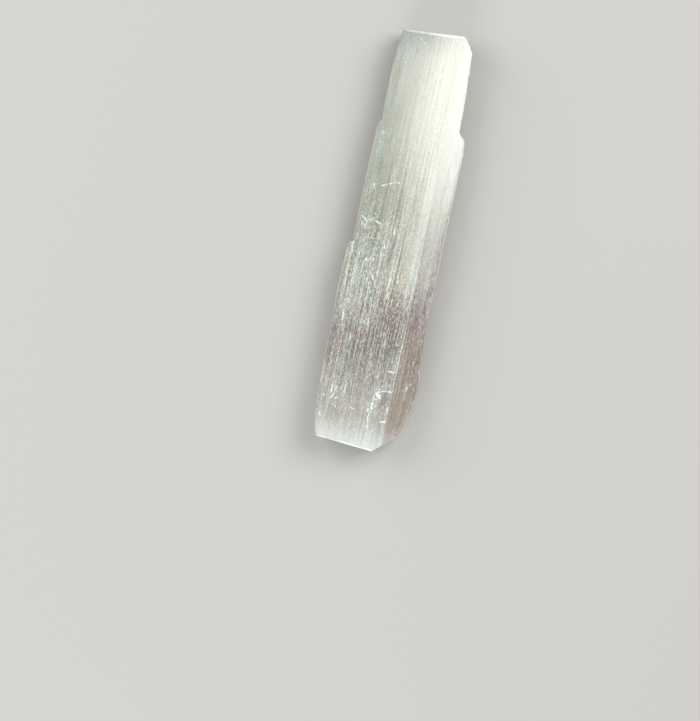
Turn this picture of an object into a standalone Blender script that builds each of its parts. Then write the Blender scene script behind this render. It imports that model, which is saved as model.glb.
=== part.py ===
"""Selenite blade: one natural crystal, lying on its flat back.

The grain of the crystal runs along Y, its broad front face looks up, and it rests on Z = 0.
It is grown section by section, each section a ring of narrow laths, and is then cleaved to
its slanted ends by flat cuts.
"""

import math
import random

import bmesh
import bpy
from mathutils import Vector

MM = 0.001

# Driving dimensions, in mm
HALF_LENGTH = 60.0
HALF_WIDTH = 14.5
THICKNESS = 11.0

# The long edges seen from the front, as (Y, X) in mm from the middle, from the top end down.
# Two values of Y close together are a ledge, where a lath of the crystal broke off.
LEFT_EDGE = [
    (62.0, -11.0), (54.0, -12.2), (47.0, -12.5), (34.6, -12.3), (32.3, -12.5), (31.8, -13.2),
    (16.0, -13.2), (-2.8, -13.0), (-3.3, -14.3), (-9.0, -HALF_WIDTH), (-24.0, -14.1),
    (-32.7, -13.7), (-44.3, -13.5), (-51.9, -12.8), (-58.0, -11.3), (-62.0, -10.0),
]
RIGHT_EDGE = [
    (62.0, 9.0), (55.9, 9.3), (46.6, 9.9), (40.0, 10.3), (33.6, 10.5), (32.8, 10.9),
    (32.0, 12.2), (30.8, 12.6), (27.5, 12.9), (0.0, 12.9), (-22.0, 13.1), (-33.9, 13.5), (-36.1, 14.2),
    (-41.0, HALF_WIDTH), (-47.0, 13.7), (-54.0, 12.2), (-62.0, 9.6),
]
# The ridge between the front face and the sloping right facet, as (Y, X) in mm.
RIDGE = [(62.0, 6.5), (0.0, 7.2), (-62.0, 7.6)]

# The broken ends, as corners seen from the front, in (X, Y), and their bevels, in mm.
TOP_END = [(-11.6, 58.5), (5.8, HALF_LENGTH), (7.0, 59.2), (9.2, 56.1)]
LOW_END = [(11.6, -54.6), (5.2, -HALF_LENGTH), (-11.0, -58.9)]
TOP_BEVEL = 1.2
LOW_BEVEL = 0.7
BEVEL_LEAN = math.radians(48.0)

# The section, in mm
FACET_FALL = 0.62       # how steeply the right facet falls away from the ridge
RIM_DROP = 1.1          # height of the bevel along the left edge
RIM_WIDTH = 0.7
FRONT_DISH = 0.25       # how much lower the left of the front face lies than the ridge
BACK_BEVEL = 1.5
SIDE_LEAN = 0.2

# The laths that make up each side of the crystal, in mm
FRONT_LATHS = 21
FACET_LATHS = 7
SIDE_LATHS = 5
BACK_LATHS = 7
FRONT_GRAIN = (-13.2, 7.0)      # X of the first and the last edge of the front laths
LATH_WIDTHS = (0.45, 1.6)       # narrowest and widest, against each other
NARROWEST_LATH = 0.3
RISER = 0.12                    # width of the little wall between two laths
BREAK_LENGTH = 0.5              # how far a lath takes to break off
LEDGE_LENGTH = 1.0              # edges that step within this length are ledges
FRONT_RELIEF = 0.22
SIDE_RELIEF = 0.6
BACK_RELIEF = 0.3
FOLLOW_SINK = 0.05              # how much deeper a lath lies that follows its neighbour
STAGGER = [1.6, 0.0, 0.9, 2.4, 1.3]     # how much lower each lath of a side breaks off
FOLLOW_CHANCE = 0.35
BREAK_CHANCE = 0.17
SMOOTH_TOP = (30.0, 6.0, 0.35)  # the front is smoother above, rougher below, and by how much
SEED = 11

# Tolerances, in mm
WELD = 0.02
ON_PLANE = 0.0001

# Where laths of each side may break off, as Y in mm
FRONT_BREAKS = [17.5, 9.0, 2.0, -11.0, -18.5, -26.0, -33.0, -39.8, -44.6, -52.0]
SIDE_BREAKS = [52.0, 45.5, 38.0, 25.0, 17.5, 9.0, -11.0, -18.5, -26.0, -39.8, -52.0]
BREAKS = {
    "front": FRONT_BREAKS,
    "facet": FRONT_BREAKS,
    "right": SIDE_BREAKS,
    "left": SIDE_BREAKS,
    "back": [],
}
# Wedges split off the surface, by side: laths, Y of the steep wall, Y where it runs out, depth
CHIPS = {
    "front": [
        (range(16, 20), -39.8, -44.6, 0.5),
        (range(15, 17), -44.6, -52.0, 0.35),
        (range(3, 5), 9.0, 17.5, 0.3),
        (range(5, 8), -44.6, -39.8, 0.3),
    ],
    "facet": [(range(4, 7), -33.0, -39.8, 0.5), (range(3, 6), 17.5, 9.0, 0.35)],
    "right": [(range(3, 5), 45.5, 38.0, 0.5), (range(2, 5), -11.0, -18.5, 0.6)],
    "left": [(range(1, 3), -26.0, -18.5, 0.7), (range(0, 2), 9.0, 17.5, 0.6)],
}


def along(edge, y):
    """The X of a long edge at this Y."""
    for (upper_y, upper_x), (lower_y, lower_x) in zip(edge, edge[1:]):
        if y >= lower_y:
            share = (y - lower_y) / (upper_y - lower_y)
            return lower_x + (upper_x - lower_x) * share
    return edge[-1][1]


def uneven_shares(rng, count):
    """Where uneven laths begin and end, from 0 to 1 across their side."""
    widths = [rng.uniform(*LATH_WIDTHS) for _ in range(count)]
    total = sum(widths)
    edges = [0.0]
    for width in widths:
        edges.append(edges[-1] + width / total)
    return edges


def grain(rng, start_x, end_x, count):
    """The X of every lath edge across a broad face."""
    return [start_x + (end_x - start_x) * share for share in uneven_shares(rng, count)]


def lath_depths(rng, side, count, relief, proud):
    """For each lath, how far it lies under the surface between each pair of breaks."""
    laths = []
    for lath in range(count):
        follows = bool(laths) and rng.random() < FOLLOW_CHANCE
        depth = rng.uniform(0.0, relief)
        levels = []
        for level in range(len(BREAKS[side]) + 1):
            if lath == proud:
                depth = 0.0
            elif follows:
                depth = min(relief, laths[-1][level] + FOLLOW_SINK)
            elif rng.random() < BREAK_CHANCE:
                depth = rng.uniform(0.0, relief)
            levels.append(depth)
        laths.append(levels)
    return laths


def depth_at(side, lath, levels, y):
    """How far under the surface a lath lies at this Y, chips included."""
    depth = levels[sum(1 for level in BREAKS[side] if y < level)]
    if side == "front":
        smooth_y, rough_y, least = SMOOTH_TOP
        share = min(1.0, max(0.0, (smooth_y - y) / (smooth_y - rough_y)))
        depth *= least + (1.0 - least) * share
    for laths, wall, end, deepest in CHIPS.get(side, []):
        share = (y - end) / (wall - end)
        if lath in laths and 0.0 <= share <= 1.0:
            depth = max(depth, deepest * share)
    return depth


def grain_edges(fixed, start_x, end_x):
    """Shares along a broad face for laths that keep to their own X as its edges step in or out."""
    count = len(fixed) - 1
    low, high = min(start_x, end_x), max(start_x, end_x)
    edges = []
    for index, x in enumerate(fixed):
        from_low = index if start_x < end_x else count - index
        x = max(x, low + NARROWEST_LATH * from_low)
        x = min(x, high - NARROWEST_LATH * (count - from_low))
        edges.append((x - start_x) / (end_x - start_x))
    edges[0], edges[-1] = 0.0, 1.0
    return edges


def lath_points(side, start, end, inward, edges, laths, y):
    """Two points for each lath of one side of the section, which runs from start to end."""
    run = end - start
    riser = 0.5 * RISER * run.normalized()
    points = []
    for lath, levels in enumerate(laths):
        sink = inward * depth_at(side, lath, levels, y)
        points.append(start + run * edges[lath] + riser + sink)
        points.append(start + run * edges[lath + 1] - riser + sink)
    return points


def staggered(points, edge, y):
    """Moves each lath of a side in or out, so that they break off at different heights."""
    moved = []
    for index, point in enumerate(points):
        step = along(edge, y + STAGGER[index // 2]) - along(edge, y)
        moved.append(point + Vector((step, 0.0, 0.0)))
    return moved


class Crystal:
    """The laths of the crystal, and the ring that they make at any Y."""

    def __init__(self, seed):
        rng = random.Random(seed)
        reach = HALF_WIDTH - BACK_BEVEL
        self.front_grain = grain(rng, *FRONT_GRAIN, FRONT_LATHS)
        self.back_grain = grain(rng, reach, -reach, BACK_LATHS)
        self.facet_edges = uneven_shares(rng, FACET_LATHS)
        self.right_edges = uneven_shares(rng, SIDE_LATHS)
        self.left_edges = uneven_shares(rng, SIDE_LATHS)
        self.front = lath_depths(rng, "front", FRONT_LATHS, FRONT_RELIEF, proud=FRONT_LATHS - 1)
        self.facet = lath_depths(rng, "facet", FACET_LATHS, FRONT_RELIEF, proud=0)
        self.right = lath_depths(rng, "right", SIDE_LATHS, SIDE_RELIEF, proud=1)
        self.left = lath_depths(rng, "left", SIDE_LATHS, SIDE_RELIEF, proud=SIDE_LATHS - 2)
        self.back = [[BACK_RELIEF * (lath % 2)] for lath in range(BACK_LATHS)]

    def ring(self, y):
        """The section at this Y, in metres."""
        left, right, ridge_x = along(LEFT_EDGE, y), along(RIGHT_EDGE, y), along(RIDGE, y)
        rim = Vector((left + RIM_WIDTH, y, THICKNESS - FRONT_DISH))
        ridge = Vector((ridge_x, y, THICKNESS))
        shoulder = Vector((right, y, THICKNESS - FACET_FALL * (right - ridge_x)))
        right_foot = Vector((right, y, BACK_BEVEL))
        back_right = Vector((right - BACK_BEVEL, y, 0.0))
        back_left = Vector((left + BACK_BEVEL, y, 0.0))
        left_foot = Vector((left + SIDE_LEAN, y, BACK_BEVEL))
        left_top = Vector((left, y, THICKNESS - RIM_DROP))
        facet_in = Vector((-FACET_FALL, 0.0, -1.0)).normalized()
        inward = {"front": Vector((0.0, 0.0, -1.0)), "right": Vector((-1.0, 0.0, 0.0))}
        front_edges = grain_edges(self.front_grain, rim.x, ridge.x)
        back_edges = grain_edges(self.back_grain, back_right.x, back_left.x)
        front = lath_points("front", rim, ridge, inward["front"], front_edges, self.front, y)
        facet = lath_points("facet", ridge, shoulder, facet_in, self.facet_edges, self.facet, y)
        right_side = lath_points(
            "right", shoulder, right_foot, inward["right"], self.right_edges, self.right, y
        )
        back = lath_points(
            "back", back_right, back_left, -inward["front"], back_edges, self.back, y
        )
        left_side = lath_points(
            "left", left_foot, left_top, -inward["right"], self.left_edges, self.left, y
        )
        right_side = staggered(right_side, RIGHT_EDGE, y)
        left_side = staggered(left_side[::-1], LEFT_EDGE, y)[::-1]
        return [point * MM for point in front + facet + right_side + back + left_side]


def section_rows():
    """Every Y that needs a section: each bend of the edges, each ledge, both sides of a break."""
    rows = set()
    for edge in (LEFT_EDGE, RIGHT_EDGE):
        rows.update(y for y, _ in edge)
        for (upper_y, _), (lower_y, _) in zip(edge, edge[1:]):
            if upper_y - lower_y < LEDGE_LENGTH:
                rows.update(y - step for y in (upper_y, lower_y) for step in STAGGER)
    for level in FRONT_BREAKS + SIDE_BREAKS:
        rows.update((level - 0.5 * BREAK_LENGTH, level + 0.5 * BREAK_LENGTH))
    kept = []
    for row in sorted(rows):
        if not kept or row - kept[-1] > 0.5 * BREAK_LENGTH:
            kept.append(row)
    return kept


def grow(mesh, crystal):
    """Extrudes one ring of laths into the next, all the way along the crystal."""
    order = mesh.verts.layers.int.new("order")
    rows = section_rows()
    cap = mesh.faces.new([mesh.verts.new(point) for point in crystal.ring(rows[0])])
    for index, vert in enumerate(cap.verts):
        vert[order] = index
    for row in rows[1:]:
        geom = [cap, *cap.edges, *cap.verts]
        extruded = bmesh.ops.extrude_face_region(mesh, geom=geom)
        cap = next(item for item in extruded["geom"] if isinstance(item, bmesh.types.BMFace))
        ring = crystal.ring(row)
        for vert in cap.verts:
            vert.co = ring[vert[order]]
    mesh.verts.layers.int.remove(order)
    bmesh.ops.recalc_face_normals(mesh, faces=mesh.faces)


def cleave(mesh, point, normal):
    """Takes off what lies past a plane, and closes the crystal with a flat face there."""
    cut = bmesh.ops.bisect_plane(
        mesh,
        geom=mesh.verts[:] + mesh.edges[:] + mesh.faces[:],
        dist=ON_PLANE * MM,
        plane_co=Vector(point) * MM,
        plane_no=normal,
        clear_outer=True,
    )
    edges = [item for item in cut["geom_cut"] if isinstance(item, bmesh.types.BMEdge)]
    bmesh.ops.contextual_create(mesh, geom=edges)


def outward(start, end, lean=0.0):
    """The normal to the left of a line in the front view, leaning up by an angle."""
    run = Vector((end[0] - start[0], end[1] - start[1])).normalized()
    return Vector((-run.y * math.cos(lean), run.x * math.cos(lean), math.sin(lean)))


def cleave_ends(mesh):
    """Cuts the ends and their corners, and the bevels between the ends and the front face."""
    for corners in (TOP_END, LOW_END):
        for start, end in zip(corners, corners[1:]):
            cleave(mesh, (*start, 0.0), outward(start, end))
    top_edge = (TOP_END[0][0], TOP_END[0][1] - TOP_BEVEL, THICKNESS)
    low_edge = (LOW_END[-1][0], LOW_END[-1][1] + LOW_BEVEL, THICKNESS)
    cleave(mesh, top_edge, outward(TOP_END[0], TOP_END[1], BEVEL_LEAN))
    cleave(mesh, low_edge, outward(LOW_END[-2], LOW_END[-1], BEVEL_LEAN))


def crystal_material():
    material = bpy.data.materials.new("milky_selenite")
    material.use_nodes = True
    shader = material.node_tree.nodes["Principled BSDF"]
    shader.inputs["Base Color"].default_value = (0.86, 0.87, 0.84, 1.0)
    shader.inputs["Roughness"].default_value = 0.35
    shader.inputs["Metallic"].default_value = 0.0
    shader.inputs["IOR"].default_value = 1.52
    return material


def selenite_blade():
    mesh = bmesh.new()
    grow(mesh, Crystal(SEED))
    cleave_ends(mesh)
    bmesh.ops.remove_doubles(mesh, verts=mesh.verts, dist=WELD * MM)
    bmesh.ops.recalc_face_normals(mesh, faces=mesh.faces)
    bmesh.ops.triangulate(mesh, faces=mesh.faces)
    data = bpy.data.meshes.new("selenite_blade")
    mesh.to_mesh(data)
    mesh.free()
    data.materials.append(crystal_material())
    blade = bpy.data.objects.new("selenite_blade", data)
    bpy.context.scene.collection.objects.link(blade)
    return blade


for old in list(bpy.data.objects):
    bpy.data.objects.remove(old)
selenite_blade()
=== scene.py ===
import math
import bpy
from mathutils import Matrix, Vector


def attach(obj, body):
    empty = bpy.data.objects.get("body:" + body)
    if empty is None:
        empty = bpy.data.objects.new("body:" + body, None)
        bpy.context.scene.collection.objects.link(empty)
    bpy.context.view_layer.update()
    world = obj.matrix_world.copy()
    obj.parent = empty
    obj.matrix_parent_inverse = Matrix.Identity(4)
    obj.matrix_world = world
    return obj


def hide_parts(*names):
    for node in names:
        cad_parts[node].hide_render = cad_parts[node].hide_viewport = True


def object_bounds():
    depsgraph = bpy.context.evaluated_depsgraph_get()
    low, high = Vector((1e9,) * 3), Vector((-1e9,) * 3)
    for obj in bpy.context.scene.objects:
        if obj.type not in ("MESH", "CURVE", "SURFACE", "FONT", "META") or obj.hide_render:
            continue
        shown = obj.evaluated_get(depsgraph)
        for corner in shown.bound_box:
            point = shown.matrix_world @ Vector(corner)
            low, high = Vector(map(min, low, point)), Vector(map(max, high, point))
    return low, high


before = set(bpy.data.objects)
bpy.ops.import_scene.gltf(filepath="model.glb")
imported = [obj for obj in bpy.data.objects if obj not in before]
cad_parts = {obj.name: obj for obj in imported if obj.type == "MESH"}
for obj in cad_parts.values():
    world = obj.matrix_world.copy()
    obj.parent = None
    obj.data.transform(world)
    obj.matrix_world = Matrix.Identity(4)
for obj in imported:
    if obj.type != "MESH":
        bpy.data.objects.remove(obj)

mm = 0.001
weldGap = 0.001 * mm                                # points nearer than this are merged
# the box that the look has to stay inside
cadLow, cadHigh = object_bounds()                       # the bounds of the imported parts


def pickOnly(piece):
    bpy.ops.object.select_all(action="DESELECT")
    piece.select_set(True)
    bpy.context.view_layer.objects.active = piece


def keepModifier(piece, modifier):
    pickOnly(piece)
    bpy.ops.object.modifier_apply(modifier=modifier.name)


# camera: straight above the crystal, which leans to the right in the picture
cameraView = {
    "pictureWide": 700,
    "pictureHigh": 721,
    "bladeMiddle": (398.8, 239.6),                  # where the middle of the blade lies, in pixels
    "pixelSize": 0.2815 * mm,                       # at the front face of the crystal
    "roll": math.radians(12.3),
    "distance": 0.8,
    "sensor": 36.0,
    "clipStart": 0.01,
}


def addCamera(view):
    right = Vector((math.cos(view["roll"]), math.sin(view["roll"]), 0.0))
    up = Vector((-math.sin(view["roll"]), math.cos(view["roll"]), 0.0))
    acrossPixels = view["pictureWide"] / 2 - view["bladeMiddle"][0]
    upPixels = view["bladeMiddle"][1] - view["pictureHigh"] / 2
    aim = (right * acrossPixels + up * upPixels) * view["pixelSize"]
    spot = aim + Vector((0.0, 0.0, cadHigh.z + view["distance"]))
    bpy.ops.object.camera_add(location=spot, rotation=(0.0, 0.0, view["roll"]))
    camera = bpy.context.object
    camera.name = "viewCamera"
    camera.data.sensor_width = view["sensor"]
    camera.data.lens = view["sensor"] * view["distance"] / (view["pictureHigh"] * view["pixelSize"])
    camera.data.clip_start = view["clipStart"]
    bpy.context.scene.camera = camera


# floor and lamps
studio = {
    "floorSize": 3.0,
    "floorHeight": -0.02 * mm,                      # just clear of the crystal's foot
    "floorRoughness": 0.8,
    "floorColour": (0.35, 0.345, 0.335, 1.0),
    "skyColour": (1.0, 0.99, 0.965, 1.0),
    "skyStrength": 0.55,
    "lamps": [                                      # name, place, size, watts, colour
        ("keyLamp", (0.36, 0.34, 0.60), 0.50, 5.6, (1.0, 0.985, 0.945)),
        ("leftLamp", (-0.50, 0.10, 0.36), 0.50, 2.9, (1.0, 1.0, 0.985)),
        ("tipLamp", (-0.05, -0.60, 0.30), 0.40, 3.2, (0.97, 1.0, 1.0)),
    ],
}


def addFloor(setup):
    bpy.ops.mesh.primitive_plane_add(size=setup["floorSize"], location=(0.0, 0.0, setup["floorHeight"]))
    floor = bpy.context.object
    floor.name = "paleFloor"
    paint = bpy.data.materials.new("palePaper")
    paint.use_nodes = True
    shader = paint.node_tree.nodes["Principled BSDF"]
    shader.inputs["Base Color"].default_value = setup["floorColour"]
    shader.inputs["Roughness"].default_value = setup["floorRoughness"]
    floor.data.materials.append(paint)


def addLight(setup):
    world = bpy.data.worlds.new("softRoom")
    bpy.context.scene.world = world
    world.use_nodes = True
    sky = world.node_tree.nodes["Background"]
    sky.inputs["Color"].default_value = setup["skyColour"]
    sky.inputs["Strength"].default_value = setup["skyStrength"]
    for name, place, size, watts, colour in setup["lamps"]:
        aim = Vector(place).to_track_quat("Z", "Y").to_euler()
        bpy.ops.object.light_add(type="AREA", location=place, rotation=aim)
        lamp = bpy.context.object
        lamp.name = name
        lamp.data.size = size
        lamp.data.energy = watts
        lamp.data.color = colour


# the crystal's surface: a fine net over the faces and ledges, then its fibres
crystal = {
    "squeeze": 0.40,                                # along the grain, so the net is finer across it
    "netSize": 0.225 * mm,
    "fibres": [                                     # pattern, width, length and depth of the fibres
        ("VORONOI", 1.3 * mm, 60.0 * mm, 0.06 * mm),
        ("VORONOI", 0.6 * mm, 18.0 * mm, 0.05 * mm),
        ("CLOUDS", 0.45 * mm, 7.0 * mm, 0.05 * mm),
    ],
    "teeth": ("VORONOI", 1.5 * mm, 1.5 * mm, 0.20 * mm),    # little breaks along the long edges
    "patternStep": (0.3, 0.7),                      # each pattern begins this far into a fibre
    "steepSide": 0.45,                              # how far a face leans out to count as a side
    "smoothFoot": 0.40 * mm,                        # no fibres below here, so the crystal rests flat
    "flatFoot": 0.08 * mm,
    "smoothAngle": math.radians(50),
}


def crystalCopy(nodeName, name):
    piece = bpy.data.objects.new(name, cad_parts[nodeName].data.copy())
    bpy.context.scene.collection.objects.link(piece)
    pickOnly(piece)
    bpy.ops.object.mode_set(mode="EDIT")
    bpy.ops.mesh.select_all(action="SELECT")
    bpy.ops.mesh.remove_doubles(threshold=weldGap)
    bpy.ops.object.mode_set(mode="OBJECT")
    piece.data.materials.clear()
    return piece


def stretchGrain(piece, factor):
    pickOnly(piece)
    bpy.ops.object.mode_set(mode="EDIT")
    bpy.ops.mesh.select_all(action="SELECT")
    bpy.ops.transform.resize(value=(1.0, factor, 1.0), center_override=(0.0, 0.0, 0.0))
    bpy.ops.object.mode_set(mode="OBJECT")


def fineNet(piece, look):
    stretchGrain(piece, look["squeeze"])
    net = piece.modifiers.new("net", "REMESH")
    net.mode = "VOXEL"
    net.voxel_size = look["netSize"]
    keepModifier(piece, net)
    stretchGrain(piece, 1.0 / look["squeeze"])


def pressIn(piece, look, name, pattern, width, length, depth, shift=0.0, group=""):
    acrossStep, alongStep = look["patternStep"]
    texture = bpy.data.textures.new(name, pattern)
    texture.noise_scale = 1.0
    if pattern == "VORONOI":
        texture.color_mode = "POSITION"             # each cell is one flat fibre
    bpy.ops.object.empty_add(location=(acrossStep * width * shift, alongStep * length * shift, 0.0))
    ruler = bpy.context.object
    ruler.scale = (width, length, width)
    push = piece.modifiers.new(name, "DISPLACE")
    push.texture = texture
    push.texture_coords = "OBJECT"
    push.texture_coords_object = ruler
    push.mid_level = 1.0                            # only ever inwards
    push.strength = depth
    push.vertex_group = group
    bpy.context.view_layer.update()
    keepModifier(piece, push)
    bpy.data.objects.remove(ruler)


def roughenSurface(piece, look):
    above = [vertex for vertex in piece.data.vertices if vertex.co.z > look["smoothFoot"]]
    steep = [vertex.index for vertex in above if abs(vertex.normal.x) > look["steepSide"]]
    piece.vertex_groups.new(name="grown").add([vertex.index for vertex in above], 1.0, "REPLACE")
    piece.vertex_groups.new(name="sides").add(steep, 1.0, "REPLACE")
    for index, fibre in enumerate(look["fibres"]):
        pressIn(piece, look, f"fibres{index}", *fibre, shift=index, group="grown")
    pressIn(piece, look, "teeth", *look["teeth"], group="sides")
    piece.vertex_groups.clear()


def flattenFoot(piece, look):
    pickOnly(piece)
    bpy.ops.object.mode_set(mode="EDIT")
    bpy.ops.mesh.select_mode(type="VERT")
    bpy.ops.mesh.select_all(action="DESELECT")
    bpy.ops.object.mode_set(mode="OBJECT")
    for vertex in piece.data.vertices:
        vertex.select = vertex.co.z < look["flatFoot"]
    bpy.ops.object.mode_set(mode="EDIT")
    bpy.ops.transform.resize(value=(1.0, 1.0, 0.0), center_override=(0.0, 0.0, 0.0))
    bpy.ops.mesh.remove_doubles(threshold=weldGap)
    bpy.ops.object.mode_set(mode="OBJECT")


# the look of the crystal
def addNode(tree, kind, settings=None, **inputs):
    node = tree.nodes.new(kind)
    for key, value in (settings or {}).items():
        setattr(node, key, value)
    for key, value in inputs.items():
        socket = node.inputs[int(key[1:])] if key[0] == "i" and key[1:].isdigit() else node.inputs[key]
        if isinstance(value, bpy.types.NodeSocket):
            tree.links.new(value, socket)
        else:
            socket.default_value = value
    return node


def grainNoise(tree, place, width, length, detail=2.0, roughness=0.5, shift=0.0):
    stretch = addNode(tree, "ShaderNodeMapping", i0=place, i1=(shift, shift * 3, shift),
                      i3=(1 / width, 1 / length, 1 / width))
    noise = addNode(tree, "ShaderNodeTexNoise", Vector=stretch.outputs[0], Scale=1.0,
                    Detail=detail, Roughness=roughness)
    return noise.outputs["Fac"]


def cellNoise(tree, place, width, length, shift=0.0):      # one random number for each splinter or speck
    stretch = addNode(tree, "ShaderNodeMapping", i0=place, i1=(shift, shift * 3, shift),
                      i3=(1 / width, 1 / length, 1 / width))
    cells = addNode(tree, "ShaderNodeTexVoronoi", Vector=stretch.outputs[0], Scale=1.0)
    return addNode(tree, "ShaderNodeSeparateColor", i0=cells.outputs["Color"]).outputs[0]


def ramp(tree, value, low, high, toLow=0.0, toHigh=1.0):
    node = addNode(tree, "ShaderNodeMapRange", {"interpolation_type": "SMOOTHSTEP"},
                   i0=value, i1=low, i2=high, i3=toLow, i4=toHigh)
    return node.outputs[0]


def maths(tree, operation, first, *others):         # taken two at a time, from the left
    result = first
    for other in others or (0.0,):
        result = addNode(tree, "ShaderNodeMath", {"operation": operation}, i0=result, i1=other).outputs[0]
    return result


def times(tree, *values):
    return maths(tree, "MULTIPLY", *values)


def plus(tree, *values):
    return maths(tree, "ADD", *values)


def less(tree, first, second):
    return maths(tree, "SUBTRACT", first, second)


def larger(tree, first, second):
    return maths(tree, "MAXIMUM", first, second)


def blendColour(tree, share, first, second, mode="MIX"):
    node = addNode(tree, "ShaderNodeMix", {"data_type": "RGBA", "blend_type": mode},
                   i0=share, i6=first, i7=second)
    return node.outputs[2]


def oval(tree, place, middle, reach, turn=0.0):     # 1 in the middle, and 0 from its edge on
    local = addNode(tree, "ShaderNodeMapping", {"vector_type": "TEXTURE"}, i0=place,
                    i1=middle, i2=(0.0, 0.0, turn), i3=reach)
    ball = addNode(tree, "ShaderNodeTexGradient", {"gradient_type": "SPHERICAL"}, i0=local.outputs[0])
    return ball.outputs["Fac"]


# the front face: flat as far as the ridge, and then the facet slopes down to the right
frontFace = {
    "height": cadHigh.z - 0.4 * mm,
    "ridgeAcross": 7.1,                             # in mm
    "facetSlope": 0.62,
}


def surfaceHeight(x):                               # x in mm
    beyondRidge = max(0.0, x - frontFace["ridgeAcross"])
    return frontFace["height"] - beyondRidge * frontFace["facetSlope"] * mm


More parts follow.
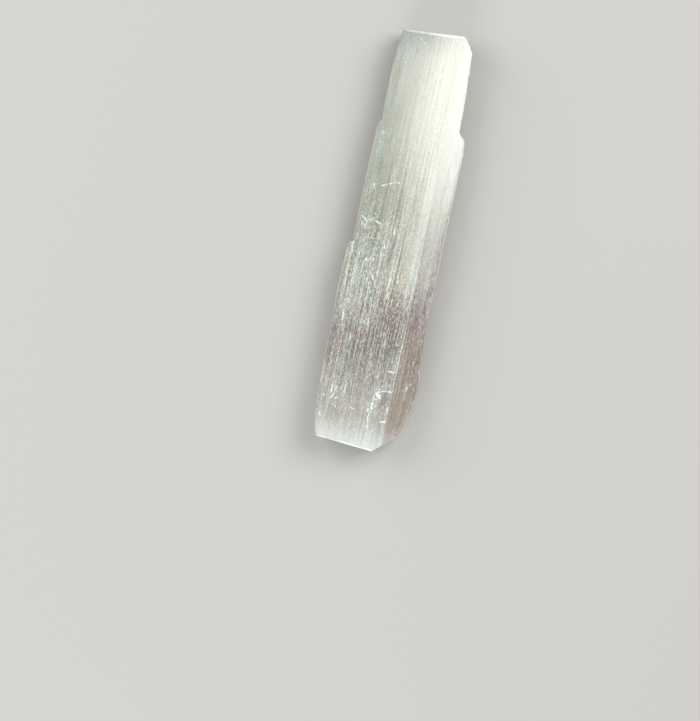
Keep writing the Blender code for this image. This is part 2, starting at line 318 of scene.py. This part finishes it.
# bruises and scratches of the front face
bruises = {
    "wander": 0.22 * mm,                            # how far a mark strays from its line
    "wanderSize": 0.8 * mm,                         # and over what length it does so
    "markDepth": 3.0 * mm,
    "markLonger": 0.62,                             # half of each size, and a little for its soft edge
    "markWider": 0.60,
    "grainy": (0.55, 1.25),                         # how much the grain breaks a mark up
    "fade": (0.10, 0.42),                           # from the soft edge of a mark to its middle
    "whiteness": 0.66,
    "marks": [                                      # in mm: from x, y to x, y, width, strength
        (-7.5, 57.8, -2.9, 54.3, 0.30, 0.52),       # scratch near the top
        (-7.2, 57.6, -5.8, 56.5, 0.34, 0.5),
        (-11.1, 51.8, -10.9, 50.9, 0.30, 0.5),
        (-9.0, 49.7, -8.5, 48.7, 0.34, 0.5),
        (-10.8, 29.3, -10.6, 27.7, 0.46, 0.5),      # pale marks down the left
        (-10.9, 26.6, -10.6, 25.2, 0.36, 0.4),
        (-7.2, 28.1, -7.3, 26.5, 0.42, 0.45),
        (-4.9, 23.3, -4.3, 22.1, 0.30, 0.4),
        (-5.4, 19.6, -5.1, 16.0, 0.46, 0.45),
        (-10.1, 15.6, -9.9, 11.4, 0.40, 0.45),
        (-8.3, 13.6, -6.8, 14.4, 0.40, 1.0),        # curved scratch
        (-7.2, 14.3, -5.9, 14.8, 0.32, 0.6),
        (-6.1, 14.7, -4.6, 15.3, 0.44, 0.8),
        (-5.0, 15.3, -3.9, 15.7, 0.32, 0.5),
        (-4.1, 15.7, -2.6, 15.4, 0.42, 0.75),
        (-5.6, 18.9, -6.8, 17.3, 0.28, 0.35),
        (-7.4, 17.4, -6.3, 16.6, 0.28, 0.35),
        (-9.9, 8.4, -9.0, 7.8, 0.30, 0.5),
        (-8.9, 5.7, -7.1, 5.7, 0.28, 0.5),          # cross-hatched cluster
        (-7.7, 5.6, -7.0, 4.9, 0.30, 0.45),
        (-9.2, 2.9, -7.9, 5.0, 0.34, 0.6),
        (-8.4, 3.2, -8.9, 4.8, 0.30, 0.5),
        (-11.8, 4.7, -11.0, 4.0, 0.44, 0.9),
        (-10.5, 4.3, -10.1, 3.0, 0.44, 0.85),
        (-9.8, 4.1, -9.1, 3.6, 0.36, 0.6),
        (-11.0, 3.5, -10.4, 4.4, 0.32, 0.6),
        (-10.9, 2.9, -10.9, 1.4, 0.60, 0.5),
        (-10.3, 2.7, -10.3, 0.6, 0.56, 0.5),
        (-9.6, 3.6, -8.7, 4.4, 0.36, 0.65),
        (-9.9, 5.2, -9.2, 4.3, 0.30, 0.5),
        (-7.8, 3.85, -5.8, 3.3, 0.46, 1.0),
        (-11.2, 3.9, -11.1, 0.8, 0.56, 0.45),
        (-9.9, 4.5, -9.8, 1.0, 0.60, 0.5),
        (-3.0, 5.5, -2.1, 4.3, 0.32, 0.5),
        (-2.0, 5.7, -1.3, 4.6, 0.28, 0.4),
        (-1.8, 3.9, -1.6, 0.2, 0.38, 0.7),
        (-3.5, -2.4, -3.4, -3.5, 0.50, 1.0),
        (-3.4, -4.0, -3.2, -5.8, 0.36, 0.65),
        (-3.0, -4.0, -2.3, -5.3, 0.32, 0.5),
        (-4.3, -4.5, -3.8, -5.3, 0.44, 0.7),
        (-10.0, -2.0, -9.5, -2.7, 0.44, 0.6),
        (-1.8, -1.7, -1.8, -2.9, 0.32, 0.5),
        (-10.3, -5.9, -9.9, -6.5, 0.40, 0.6),
        (-8.2, -7.0, -7.3, -7.9, 0.42, 0.85),
        (-6.5, -9.9, -5.3, -11.5, 0.32, 0.8),       # straight scratch
        (-5.6, -11.0, -4.3, -13.0, 0.42, 1.0),
        (-4.6, -15.5, -4.9, -16.7, 0.42, 0.85),
        (0.2, -10.4, 0.1, -13.6, 0.38, 0.5),
        (0.3, -14.1, 0.1, -18.0, 0.42, 0.75),
        (2.4, -10.6, 2.6, -12.0, 0.40, 0.4),
        (-3.4, -22.6, -3.3, -26.3, 0.60, 0.40),
        (-4.9, -23.6, -4.7, -25.4, 0.60, 0.35),
        (-1.6, -23.2, -0.9, -25.4, 0.50, 0.35),
        (-10.9, -22.0, -10.7, -26.2, 0.42, 0.85),
        (-10.7, -26.2, -10.2, -27.7, 0.36, 0.65),
        (-7.6, -29.0, -7.5, -30.7, 0.40, 0.8),
        (-8.0, -26.8, -7.5, -27.6, 0.34, 0.5),
        (2.0, -26.3, 2.2, -27.5, 0.36, 0.5),
        (2.1, -28.2, 2.4, -30.1, 0.36, 0.6),
        (-0.9, -32.5, -0.2, -33.7, 0.60, 0.4),
        (-12.1, -35.5, -11.5, -34.9, 0.36, 0.6),
        (4.8, -37.0, 6.9, -36.8, 0.44, 1.0),        # ledges beside the ridge
        (6.0, -39.7, 7.1, -39.5, 0.30, 0.5),
        (6.1, -40.2, 6.5, -41.3, 0.34, 0.5),
        (4.3, -42.2, 6.2, -42.0, 0.26, 0.45),
        (7.5, -42.3, 5.6, -42.6, 0.42, 0.95),       # broken step, partly painted highlight over the shade of its steep wall, and the trail under it
        (6.0, -42.5, 4.0, -42.9, 0.38, 0.95),
        (4.2, -42.8, 3.2, -43.5, 0.48, 1.0),
        (2.9, -43.3, 3.5, -44.6, 0.80, 1.0),
        (3.2, -43.9, 4.8, -45.0, 0.80, 1.0),
        (3.4, -44.6, 5.0, -45.0, 0.50, 0.9),
        (3.6, -43.4, 4.4, -44.3, 0.60, 0.55),
        (6.8, -43.0, 6.5, -41.8, 0.36, 0.7),
        (5.5, -43.1, 5.1, -42.2, 0.40, 0.7),
        (4.6, -43.2, 4.9, -42.5, 0.40, 0.6),
        (4.4, -41.9, 3.1, -42.7, 0.30, 0.5),
        (2.0, -43.9, 3.1, -44.2, 0.30, 0.45),
        (2.4, -44.5, 3.1, -46.1, 0.50, 0.7),
        (3.9, -45.1, 2.9, -45.7, 0.40, 0.65),
        (2.9, -42.1, 2.7, -43.3, 0.34, 0.5),
        (2.8, -46.2, 2.2, -47.8, 0.80, 0.7),
        (1.1, -46.3, 0.9, -48.1, 0.34, 0.45),
        (2.2, -47.5, 3.0, -48.4, 0.60, 0.8),
        (1.6, -48.0, 1.8, -49.5, 0.54, 0.8),
        (2.1, -49.3, 2.2, -52.7, 0.46, 0.7),
        (1.9, -52.8, 2.7, -53.6, 0.50, 0.7),
        (5.5, -51.4, 7.3, -50.9, 0.56, 1.0),
        (7.0, -46.4, 7.1, -48.8, 0.48, 0.7),
        (-3.3, -48.9, -2.5, -49.2, 0.50, 0.85),
        (-2.5, -49.4, -2.0, -49.1, 0.44, 0.75),
        (-8.4, -47.5, -7.2, -47.1, 0.50, 0.85),
        (-7.8, -49.3, -7.2, -49.9, 0.50, 0.85),
        (-8.5, -48.7, -8.0, -49.5, 0.34, 0.5),
        (-9.6, -43.3, -9.4, -46.4, 0.50, 0.85),
        (-8.3, -43.5, -8.4, -45.7, 0.44, 0.7),
        (-8.4, -45.7, -9.5, -48.1, 0.42, 0.75),
        (-11.5, -46.2, -11.3, -47.6, 0.42, 0.55),
        (-5.9, -42.0, -5.8, -46.0, 0.42, 0.65),
        (-6.9, -42.3, -6.8, -45.5, 0.34, 0.4),
        (-5.2, -41.3, -4.6, -42.1, 0.32, 0.6),
        (-2.6, -37.3, -1.9, -38.9, 0.30, 0.6),
        (-2.2, -38.9, -1.8, -40.4, 0.28, 0.4),
        (-11.9, -51.9, -11.0, -51.9, 0.40, 0.5),
        (-11.6, -52.2, -11.1, -53.1, 0.70, 0.85),
        (11.2, -32.3, 11.6, -33.7, 0.32, 0.6),      # on the sloping facet
        (8.4, -32.0, 8.6, -33.2, 0.32, 0.4),
        (11.0, -41.6, 11.5, -39.6, 0.40, 0.7),
        (11.5, -39.6, 12.6, -38.7, 0.40, 0.8),
    ],
}

# patches of the front face, in mm: middle x, middle y, reach across, reach along, strength
patches = {
    "depth": 5.0 * mm,
    "frost": [                                      # where frost gathers
        (-9.0, 52.5, 5.5, 8.0, 0.6),
        (-10.6, 38.0, 2.2, 6.0, 0.35),
        (-10.6, 24.5, 2.0, 7.0, 0.9),
        (-6.8, 25.5, 1.2, 4.5, 0.35),
        (-10.4, 14.0, 1.6, 6.0, 0.9),
        (-5.2, 17.6, 2.0, 3.0, 0.6),
        (-10.2, 3.4, 2.4, 4.2, 1.0),
        (-5.6, 3.4, 1.6, 2.2, 0.4),
        (-10.2, -2.0, 2.0, 4.0, 0.4),
        (7.0, 9.0, 2.8, 8.5, 0.55),
        (-1.6, 1.0, 0.9, 5.0, 0.6),
        (-9.8, -14.5, 3.2, 7.5, 0.8),
        (-3.8, -4.0, 1.4, 4.0, 0.8),
        (-0.2, -12.0, 1.4, 5.0, 0.7),
        (-4.2, -17.0, 2.0, 4.0, 0.6),
        (5.8, -9.0, 2.4, 11.0, 0.75),
        (-4.2, -24.3, 3.0, 3.6, 0.95),
        (-1.6, -24.0, 2.0, 2.6, 0.7),
        (-10.6, -25.0, 1.8, 6.0, 0.5),
        (-7.8, -31.0, 1.6, 3.4, 0.8),
        (1.8, -30.0, 2.6, 4.0, 0.7),
        (-8.2, -37.0, 1.8, 6.5, 0.8),
        (-1.0, -34.5, 3.4, 4.4, 0.6),
        (6.0, -34.5, 2.4, 4.0, 0.8),
        (-9.2, -43.5, 1.8, 5.0, 0.9),
        (-6.2, -42.5, 1.2, 4.0, 0.8),
        (-8.4, -47.5, 2.4, 2.6, 0.8),
        (3.4, -43.4, 2.6, 3.4, 0.9),
        (1.8, -47.6, 2.4, 3.6, 0.9),
        (5.6, -41.4, 1.8, 1.6, 1.0),
        (2.9, -46.4, 1.4, 2.2, 1.0),
        (2.2, -52.6, 1.0, 3.6, 0.9),
        (-5.0, -53.3, 1.2, 3.6, 0.7),
        (-2.0, -52.9, 2.4, 1.4, 0.7),
        (-11.2, -52.5, 1.2, 1.6, 0.8),
        (10.8, -40.0, 1.6, 4.5, 0.6),
    ],
    "bright": [                                     # milky laths that run down it, and painted highlights along both edges
        (6.8, 11.0, 1.3, 9.0, 0.8),
        (5.1, -10.0, 0.6, 14.0, 0.8),
        (6.8, -10.0, 0.6, 12.0, 0.7),
        (5.0, -3.0, 4.4, 18.0, 0.56),
        (-2.5, -11.0, 8.0, 9.0, 0.24),
        (-8.6, -19.5, 3.0, 6.5, 0.34),
        (4.2, -37.0, 3.0, 5.0, 0.18),
        (6.6, -33.0, 1.0, 8.0, 0.2),
        (2.0, -4.0, 0.4, 18.0, 0.6),
        (-1.5, 3.0, 0.35, 10.0, 0.35),
        (9.6, -4.0, 3.2, 18.0, 0.8),
        (9.4, 13.0, 3.4, 22.0, 1.0),
        (5.6, 12.0, 3.4, 17.0, 0.46),
        (6.2, 5.0, 1.8, 6.0, 0.7),
        (12.9, 2.0, 0.6, 30.0, 1.0),                # painted highlight: pale lines along both edges
        (-12.85, 15.0, 0.6, 30.0, 0.8),
        (-12.05, 44.0, 0.6, 16.0, 0.6),
        (-11.4, -21.0, 2.4, 5.5, 0.36),
        (-2.0, -20.5, 4.0, 4.0, 0.2),
        (-9.2, -12.5, 1.9, 5.0, 0.36),
        (3.4, -11.0, 2.2, 6.5, 0.42),
        (-7.6, 44.0, 5.2, 13.0, 0.20),
    ],
    "clear": [                                      # where the crystal is at its clearest, and darker, partly painted shade
        (-5.6, -37.5, 6.0, 15.0, 0.55),
        (0.4, -28.0, 6.0, 14.0, 0.85),
        (-6.8, -50.0, 4.0, 7.0, 0.6),
        (5.8, -44.0, 3.4, 9.0, 0.9),
        (0.0, -44.5, 4.5, 7.0, 0.5),
        (-4.6, -44.5, 3.6, 6.5, 0.4),
        (-10.4, -44.5, 3.2, 7.0, 0.35),
        (-10.2, 0.5, 4.2, 11.0, 0.75),
    ],
    "warm": [                                       # and where it looks a little tan
        (2.6, -14.5, 7.0, 13.5, 0.9),
    ],
}


def patchMask(tree, place, kind):
    mask = None
    for x, y, across, along, strength in patches[kind]:
        middle = (x * mm, y * mm, surfaceHeight(x))
        reach = (across * mm, along * mm, patches["depth"])
        patch = times(tree, oval(tree, place, middle, reach), strength)
        mask = patch if mask is None else larger(tree, mask, patch)
    return mask


def bruiseMask(tree, place, look):
    jitter = addNode(tree, "ShaderNodeTexNoise", Vector=place, Scale=1 / look["wanderSize"], Detail=1.0)
    centred = addNode(tree, "ShaderNodeVectorMath", {"operation": "SUBTRACT"},
                      i0=jitter.outputs["Color"], i1=(0.5, 0.5, 0.5))
    stray = addNode(tree, "ShaderNodeVectorMath", {"operation": "MULTIPLY_ADD"},
                    i0=centred.outputs[0], i1=(look["wander"],) * 3, i2=place)
    mask = None
    for startX, startY, endX, endY, width, strength in look["marks"]:
        middleX = (startX + endX) / 2
        middle = (middleX * mm, (startY + endY) / 2 * mm, surfaceHeight(middleX))
        length = math.hypot(endX - startX, endY - startY)
        reach = (look["markLonger"] * length * mm, look["markWider"] * width * mm, look["markDepth"])
        turn = math.atan2(endY - startY, endX - startX)
        stroke = times(tree, oval(tree, stray.outputs[0], middle, reach, turn), strength)
        mask = stroke if mask is None else larger(tree, mask, stroke)
    return mask


selenite = {
    # tones
    "warmGrey": (0.216, 0.186, 0.168, 1.0),
    "greenGrey": (0.289, 0.303, 0.250, 1.0),
    "paleGrey": (0.312, 0.334, 0.286, 1.0),
    "topShadeGrey": (0.255, 0.290, 0.285, 1.0),
    "cream": (0.770, 0.765, 0.708, 1.0),
    "silver": (0.60, 0.61, 0.570, 1.0),
    "milk": (0.84, 0.86, 0.80, 1.0),
    "mint": (0.38, 0.52, 0.50, 1.0),
    "frost": (0.79, 0.87, 0.85, 1.0),
    "white": (0.97, 0.99, 0.98, 1.0),
    "facetLightTone": (1.34, 1.21, 1.13, 1.0),           # these three multiply the tone under them
    "clearShadeTone": (0.74, 0.71, 0.70, 1.0),
    "warmTone": (1.13, 1.07, 0.99, 1.0),

    # shine and clearness
    "roughness": (0.32, 0.55),                      # clear, and under full frost
    "ior": 1.52,
    "transmission": 0.30,
    "absorbed": (0.95, 0.94, 0.87, 1.0),
    "absorption": 18.0,                             # per metre

    # where each tone begins and is at its full, along the grain unless it says otherwise
    "milkGlowMiddle": (8.5 * mm, 46.0 * mm, 0.0),
    "milkGlowReach": (22.0 * mm, 62.0 * mm, 1.0),
    "milkGlowFade": (1.0, 0.12),                        # from its edge to its full part
    "haze": (-28.0 * mm, -50.0 * mm),
    "frostAndGlowTip": (-50.0 * mm, -61.0 * mm),
    "frostSlant": 0.4,                              # the frost begins higher on the left
    "frostStart": (16.0 * mm, -16.0 * mm),
    "frostThins": (-14.0 * mm, -32.0 * mm),
    "frostLeft": 0.62,
    "frostEnd": (-62.0 * mm, -54.0 * mm),
    "greenSlant": -1.0,                             # and the warm tone begins higher on the right
    "greenStart": (-22.0 * mm, 8.0 * mm),
    "paleStart": (14.0 * mm, 30.0 * mm),
    "topShadeAlong": (50.0 * mm, 59.0 * mm),
    "topShadeAcross": (6.0 * mm, -6.0 * mm),
    "ridgePlace": frontFace["ridgeAcross"] * mm,    # where the ridge crosses y = 0
    "ridgeSlope": 0.0089,
    "ridgeWidth": 0.30 * mm,
    "ridgeTop": (4.0 * mm, -10.0 * mm),
    "ridgeEnd": (-54.0 * mm, -46.0 * mm),
    "facetLean": (0.25, 0.45),                      # how far the normal leans out
    "facetFoot": (3.5 * mm, 5.0 * mm),              # in height
    "facetShade": (-8.0 * mm, -34.0 * mm),
    "facetHighlightAlong": (4.0 * mm, 44.0 * mm),
    "facetFrostLost": 0.5,
    "rimHighlightLean": (0.68, 0.42),                        # from the front face over its rim
    "wallLean": (0.28, 0.05),                       # and on to the walls
    "endLean": (0.40, 0.60),
    "rimHighlightDepth": (9.2 * mm, 10.6 * mm),              # in height
    "rimHighlightTowardsTip": (-20.0 * mm, -40.0 * mm),
    "rimHighlightRightSide": (11.0 * mm, 12.6 * mm),           # across

    # the grain: width, length, and then detail, roughness and shift, or the shift alone
    "broad": (2.4 * mm, 70.0 * mm, 2.0, 0.5, 3.0),
    "threads": (0.34 * mm, 26.0 * mm, 2.0, 0.7, 5.0),
    "clouds": (0.9 * mm, 2.0 * mm, 3.0, 0.75, 2.0),
    "drifts": (3.5 * mm, 13.0 * mm, 3.0, 0.6, 7.0),
    "columns": (0.85 * mm, 30.0 * mm, 9.0),
    "lines": (0.22 * mm, 9.0 * mm, 5.0),
    "grains": (0.17 * mm, 0.46 * mm, 1.0),
    "dashes": (0.22 * mm, 1.8 * mm, 4.0),
    "broadRange": (0.36, 0.64),
    "driftRange": (0.36, 0.62),
    "columnContrast": 0.03,
    "threadContrast": 2.05,
    "grainContrast": 0.60,
    "cloudContrast": 0.10,
    "streakStart": (40.0 * mm, -10.0 * mm),
    "streakAtTop": 0.34,
    "streakEnd": (-30.0 * mm, -58.0 * mm),
    "streakAtTip": 0.2,
    "streakInClear": 0.5,

    # flecks and dashes of frost, which follow the threads
    "followThreads": 1.30,
    "followDrifts": 0.02,
    "followFrost": 0.09,
    "fleckRange": (1.39, 1.54),
    "dashRange": (1.35, 1.70),
    "dashShare": 0.55,
    "fleckInPatch": 0.5,

    # how much of each tone is laid over those before it
    "patchFull": 0.9,                               # strength at which a clear or warm patch is full
    "lathAndRimFull": 0.5,
    "lathAndRimShare": 0.34,
    "topShadeShare": 0.56,
    "hazeShare": (0.32, 0.06),                      # on the front face and on the facet
    "tipFrostAndGlowShare": 0.58,
    "broadShare": 0.05,
    "columnShare": 0.02,
    "mintShare": 0.34,
    "frostShare": 0.56,
    "ridgeHighlightDash": 0.6,
    "ridgeHighlightShare": (0.3, 0.8),
    "rimHighlightByGlow": (0.25, 0.9),
    "facetHighlightShare": 0.66,
    "wallShare": (0.15, 0.45),
    "endLines": 0.35,
    "endColumns": 0.40,
    "sideRimHighlight": 0.65,                                # how strong the painted rim highlight is beside that of the ends

    # relief
    "bumpLines": 0.5,
    "bumpColumns": 0.6,
    "bumpFrost": 0.45,
    "bumpStrength": 0.5,
    "bumpHeight": 0.08 * mm,
}


def seleniteMaterial(look, marks):
    paint = bpy.data.materials.new("milkySelenite")
    paint.use_nodes = True
    tree = paint.node_tree
    shader = tree.nodes["Principled BSDF"]
    coordinates = addNode(tree, "ShaderNodeTexCoord")
    place = coordinates.outputs["Object"]
    axes = addNode(tree, "ShaderNodeSeparateXYZ", i0=place)
    across, along, high = axes.outputs[0], axes.outputs[1], axes.outputs[2]
    facing = addNode(tree, "ShaderNodeSeparateXYZ", i0=coordinates.outputs["Normal"])
    leanX, leanY, leanZ = facing.outputs[0], facing.outputs[1], facing.outputs[2]

    # milkiness and painted light: a painted glow towards the upper right corner, where the crystal is also
    # milky, and a frosted tip with a painted glow
    toMilkAndGlow = addNode(tree, "ShaderNodeMapping", {"vector_type": "TEXTURE"}, i0=place,
                     i1=look["milkGlowMiddle"], i3=look["milkGlowReach"])
    flat = addNode(tree, "ShaderNodeVectorMath", {"operation": "MULTIPLY"},
                   i0=toMilkAndGlow.outputs[0], i1=(1, 1, 0))
    away = addNode(tree, "ShaderNodeVectorMath", {"operation": "LENGTH"}, i0=flat.outputs[0])
    milkAndPaintedGlow = ramp(tree, away.outputs["Value"], *look["milkGlowFade"])
    frostAndGlowTip = ramp(tree, along, *look["frostAndGlowTip"])
    topLeftShade = times(tree, ramp(tree, along, *look["topShadeAlong"]), ramp(tree, across, *look["topShadeAcross"]))

    # the facet right of the ridge, with painted light and shade, a painted highlight near its top, and a
    # painted highlight along the ridge itself
    sloping = times(tree, ramp(tree, leanX, *look["facetLean"]), ramp(tree, high, *look["facetFoot"]))
    facet = times(tree, sloping, ramp(tree, along, *look["facetShade"]))
    facetHighlight = times(tree, sloping, ramp(tree, along, *look["facetHighlightAlong"]))
    fromRidge = plus(tree, across, times(tree, along, look["ridgeSlope"]))
    fromRidge = maths(tree, "ABSOLUTE", less(tree, fromRidge, look["ridgePlace"]))
    ridgeHighlight = times(tree, ramp(tree, fromRidge, look["ridgeWidth"], 0.0), ramp(tree, along, *look["ridgeTop"]),
                  ramp(tree, along, *look["ridgeEnd"]))

    # the sawn ends, the walls, and a painted highlight on the rim above them
    sawn = ramp(tree, maths(tree, "ABSOLUTE", leanY), *look["endLean"])
    wall = ramp(tree, leanZ, *look["wallLean"])
    rimHighlight = times(tree, ramp(tree, leanZ, *look["rimHighlightLean"]), less(tree, 1.0, wall),
                ramp(tree, high, *look["facetFoot"]), look["sideRimHighlight"])
    rimHighlight = larger(tree, rimHighlight, times(tree, sawn, ramp(tree, high, *look["rimHighlightDepth"])))
    rimHighlightStrength = larger(tree, ramp(tree, milkAndPaintedGlow, 0.0, 1.0, *look["rimHighlightByGlow"]), ramp(tree, along, *look["rimHighlightTowardsTip"]))
    rimHighlightStrength = larger(tree, rimHighlightStrength, ramp(tree, across, *look["rimHighlightRightSide"]))

    # streaks of three sizes
    broad = ramp(tree, grainNoise(tree, place, *look["broad"]), *look["broadRange"])
    columns = cellNoise(tree, place, *look["columns"])
    lines = cellNoise(tree, place, *look["lines"])
    threads = grainNoise(tree, place, *look["threads"])
    grains = cellNoise(tree, place, *look["grains"])
    clearAndShaded = ramp(tree, patchMask(tree, place, "clear"), 0.0, look["patchFull"])
    slanted = plus(tree, along, times(tree, across, look["frostSlant"]))
    streaks = plus(tree, times(tree, less(tree, columns, 0.5), look["columnContrast"]),
                   times(tree, less(tree, threads, 0.5), look["threadContrast"]),
                   times(tree, less(tree, grains, 0.5), look["grainContrast"]))
    streaks = times(tree, streaks, ramp(tree, slanted, *look["streakStart"], look["streakAtTop"], 1.0),
                    ramp(tree, along, *look["streakEnd"], 1.0, look["streakAtTip"]),
                    ramp(tree, clearAndShaded, 0.0, 1.0, 1.0, look["streakInClear"]))
    clouds = less(tree, grainNoise(tree, place, *look["clouds"]), 0.5)
    streaks = plus(tree, streaks, times(tree, clouds, look["cloudContrast"]))

    # flecks of frost, which gather in some streaks and patches
    bloom = patchMask(tree, place, "frost")
    drifts = ramp(tree, grainNoise(tree, place, *look["drifts"]), *look["driftRange"])
    gathered = plus(tree, times(tree, threads, look["followThreads"]),
                    times(tree, drifts, look["followDrifts"]), times(tree, bloom, look["followFrost"]))
    flecks = ramp(tree, plus(tree, grains, gathered), *look["fleckRange"])
    dashes = cellNoise(tree, place, *look["dashes"])
    dashes = ramp(tree, plus(tree, dashes, gathered), *look["dashRange"], 0.0, look["dashShare"])
    flecks = larger(tree, flecks, dashes)
    lower = times(tree, ramp(tree, slanted, *look["frostStart"]), ramp(tree, along, *look["frostEnd"]),
                  ramp(tree, along, *look["frostThins"], 1.0, look["frostLeft"]),
                  less(tree, 1.0, times(tree, facet, look["facetFrostLost"])))
    frosted = times(tree, flecks, larger(tree, lower, times(tree, bloom, look["fleckInPatch"])))

    bruised = times(tree, bruiseMask(tree, place, marks), ramp(tree, grains, 0.0, 1.0, *marks["grainy"]))
    bruised = ramp(tree, bruised, *marks["fade"], 0.0, marks["whiteness"])

    # the clear crystal, and the milk and haze in it
    greener = plus(tree, along, times(tree, across, look["greenSlant"]))
    clear = blendColour(tree, ramp(tree, greener, *look["greenStart"]), look["warmGrey"], look["greenGrey"])
    # painted light and shade on the sloping facet, with its own warmer tone
    clear = blendColour(tree, facet, clear, look["facetLightTone"], "MULTIPLY")
    clear = blendColour(tree, ramp(tree, along, *look["paleStart"]), clear, look["paleGrey"])
    # painted glow of light towards the upper right, partly the milky cream of the crystal
    body = blendColour(tree, milkAndPaintedGlow, clear, look["cream"])
    # painted shade towards the top left corner
    body = blendColour(tree, times(tree, topLeftShade, look["topShadeShare"]), body, look["topShadeGrey"])
    haze = times(tree, ramp(tree, along, *look["haze"]), ramp(tree, facet, 0.0, 1.0, *look["hazeShare"]))
    body = blendColour(tree, haze, body, look["silver"])
    # painted glow with frost at the broken tip
    body = blendColour(tree, times(tree, frostAndGlowTip, look["tipFrostAndGlowShare"]), body, look["frost"])
    body = blendColour(tree, times(tree, broad, look["broadShare"]), body, look["silver"])
    body = blendColour(tree, times(tree, columns, look["columnShare"]), body, look["silver"])
    shaded = addNode(tree, "ShaderNodeVectorMath", {"operation": "SCALE"}, i0=body,
                     Scale=plus(tree, streaks, 1.0))
    body = shaded.outputs[0]

    # patches and laths of the front face, then its frost
    milkyLathsAndRimLight = ramp(tree, patchMask(tree, place, "bright"), 0.0, look["lathAndRimFull"])
    warmest = ramp(tree, patchMask(tree, place, "warm"), 0.0, look["patchFull"])
    body = blendColour(tree, times(tree, bloom, look["mintShare"]), body, look["mint"])
    # milky laths, and painted highlight along both edges
    body = blendColour(tree, times(tree, milkyLathsAndRimLight, look["lathAndRimShare"]), body, look["milk"])
    # darker where the crystal is clearest, partly painted shade
    body = blendColour(tree, clearAndShaded, body, look["clearShadeTone"], "MULTIPLY")
    body = blendColour(tree, warmest, body, look["warmTone"], "MULTIPLY")
    body = blendColour(tree, times(tree, frosted, look["frostShare"]), body, look["frost"])
    # painted highlight along the ridge line, broken into dashes
    ridgeHighlight = times(tree, ridgeHighlight, ramp(tree, dashes, 0.0, look["ridgeHighlightDash"], *look["ridgeHighlightShare"]))
    body = blendColour(tree, ridgeHighlight, body, look["frost"])

    # walls, ends, painted rim highlight and bruises
    # painted highlight: white on the upper part of the sloping facet
    body = blendColour(tree, times(tree, facetHighlight, look["facetHighlightShare"]), body, look["white"])
    walled = times(tree, wall, ramp(tree, lines, 0.0, 1.0, *look["wallShare"]))
    body = blendColour(tree, walled, body, look["milk"])
    mosaic = plus(tree, times(tree, lines, look["endLines"]), times(tree, columns, look["endColumns"]))
    body = blendColour(tree, times(tree, sawn, mosaic), body, look["milk"])
    # painted highlight along the rims, stronger in the glow, towards the tip and at the right edge
    body = blendColour(tree, times(tree, rimHighlight, rimHighlightStrength), body, look["white"])
    body = blendColour(tree, bruised, body, look["white"])
    tree.links.new(body, shader.inputs["Base Color"])

    rough = ramp(tree, plus(tree, frosted, bruised), 0.0, 1.0, *look["roughness"])
    tree.links.new(rough, shader.inputs["Roughness"])
    shader.inputs["IOR"].default_value = look["ior"]
    shader.inputs["Transmission Weight"].default_value = look["transmission"]

    height = plus(tree, times(tree, lines, look["bumpLines"]), times(tree, columns, look["bumpColumns"]),
                  times(tree, frosted, look["bumpFrost"]))
    bump = addNode(tree, "ShaderNodeBump", Height=height, Strength=look["bumpStrength"],
                   Distance=look["bumpHeight"])
    tree.links.new(bump.outputs[0], shader.inputs["Normal"])

    soak = addNode(tree, "ShaderNodeVolumeAbsorption", Color=look["absorbed"], Density=look["absorption"])
    tree.links.new(soak.outputs[0], tree.nodes["Material Output"].inputs["Volume"])
    return paint


print("camera")
addCamera(cameraView)
print("floor and light")
addFloor(studio)
addLight(studio)
print("crystal")
blade = crystalCopy("selenite_blade", "seleniteSurface")
fineNet(blade, crystal)
print("fibres on", len(blade.data.polygons), "faces")
roughenSurface(blade, crystal)
flattenFoot(blade, crystal)
pickOnly(blade)
bpy.ops.object.shade_smooth_by_angle(angle=crystal["smoothAngle"])
blade.data.materials.append(seleniteMaterial(selenite, bruises))
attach(blade, "root")
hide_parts("selenite_blade")

bpy.context.scene.view_settings.view_transform = "Standard"
